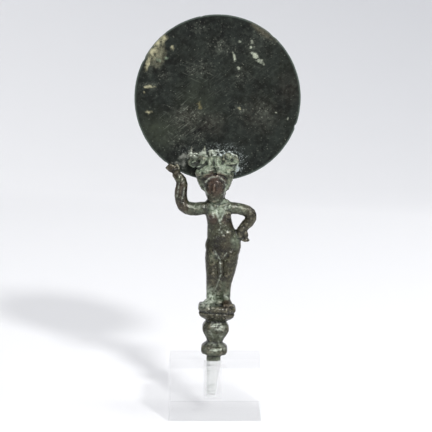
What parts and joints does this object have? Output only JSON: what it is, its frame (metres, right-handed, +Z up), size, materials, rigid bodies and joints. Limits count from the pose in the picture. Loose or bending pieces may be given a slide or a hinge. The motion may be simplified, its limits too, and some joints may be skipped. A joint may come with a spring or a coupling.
{
  "type": "bronze hand mirror on a clear stand",
  "caption": "Round disc mirror on the head of a standing nude figure with one raised arm, her moulded base and tang set in a clear square display block.",
  "frame": {"origin": "centre of the display block's underside", "axes": "+Z up along the mirror's height, the polished face and the figure's front look towards -Y, +X is to the right seen from the front"},
  "size_m": [0.112, 0.062, 0.2699],
  "materials": {
    "patinated_bronze": "old cast bronze with a brown-olive surface and grey-green patina in the hollows, satin",
    "dark_disc_bronze": "old bronze sheet with an even green-black patina and small cream crusts, satin",
    "clear_acrylic": "clear acrylic, polished on all faces and edges"
  },
  "bodies": {
    "root": {"display_block": "clear_acrylic", "figure_handle": "patinated_bronze", "mirror_disc": "dark_disc_bronze"}
  },
  "joints": []
}
